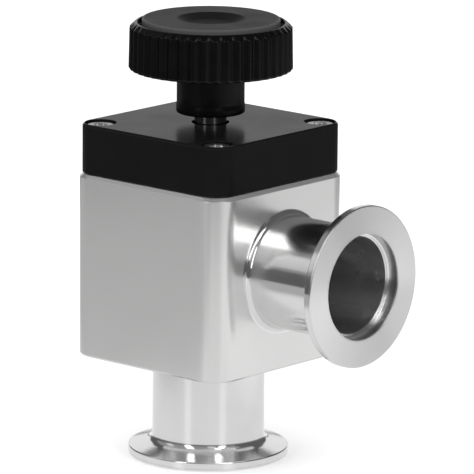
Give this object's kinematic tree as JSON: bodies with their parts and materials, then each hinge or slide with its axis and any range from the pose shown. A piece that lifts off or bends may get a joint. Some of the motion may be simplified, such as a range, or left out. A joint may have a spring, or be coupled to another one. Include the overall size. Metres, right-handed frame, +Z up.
{
  "type": "right-angle vacuum valve",
  "caption": "Hand-operated right-angle vacuum valve: square steel body, small-flange ports below and at the side, black bonnet and a fluted knob that lifts a bellows-sealed plate.",
  "frame": {"origin": "centre of the bottom port's sealing face", "axes": "+Z up the spindle from the bottom port to the knob, +X out of the side port, +Y across"},
  "size_m": [0.0747, 0.0494, 0.11],
  "materials": {
    "body_steel": "satin milled",
    "turned_steel": "fine turned, bright",
    "inner_steel": "satin",
    "spindle_steel": "ground",
    "bright_fastener": "bright",
    "spring_steel": "oiled",
    "black_anodised": "black anodised, satin",
    "knob_plastic": "moulded, semi-matte",
    "cap_plastic": "smooth, semi-matte",
    "seal_rubber": "smooth",
    "bronze": "machined",
    "brass": "machined"
  },
  "bodies": {
    "housing": {"body_block": "body_steel", "side_port_stub": "turned_steel", "bottom_port_stub": "turned_steel", "bonnet": "black_anodised", "bonnet_screws": "bright_fastener", "bonnet_washers": "bright_fastener", "body_seal": "seal_rubber", "bellows_flange": "inner_steel", "bellows": "inner_steel", "spindle_bush": "bronze", "guide_pins": "bright_fastener", "wiper_seal": "seal_rubber"},
    "carrier": {"bellows_cap": "inner_steel", "valve_plate": "inner_steel", "plate_seal": "seal_rubber", "plate_screw": "bright_fastener", "plate_washer": "bright_fastener", "thrust_ball": "bright_fastener", "retaining_nut": "bronze"},
    "spindle": {"spindle": "spindle_steel", "thrust_collar": "bronze", "circlip": "spring_steel", "knob": "knob_plastic", "knob_insert": "brass", "knob_washer": "bright_fastener", "knob_screw": "bright_fastener", "knob_cap": "cap_plastic"}
  },
  "joints": [
    {"name": "plate_lift", "type": "slide", "parent": "housing", "child": "carrier", "axis": [0, 0, 1], "range_m": [0, 0.00788], "deforming": ["bellows"]},
    {"name": "knob_turn", "type": "hinge", "parent": "carrier", "child": "spindle", "pos_m": [0, 0, 0.05], "axis": [0, 0, 1], "range_deg": [0, 1890]}
  ],
  "couplings": [
    {"joint": "knob_turn", "follows": "plate_lift", "rad_per_m": 4188.8}
  ]
}
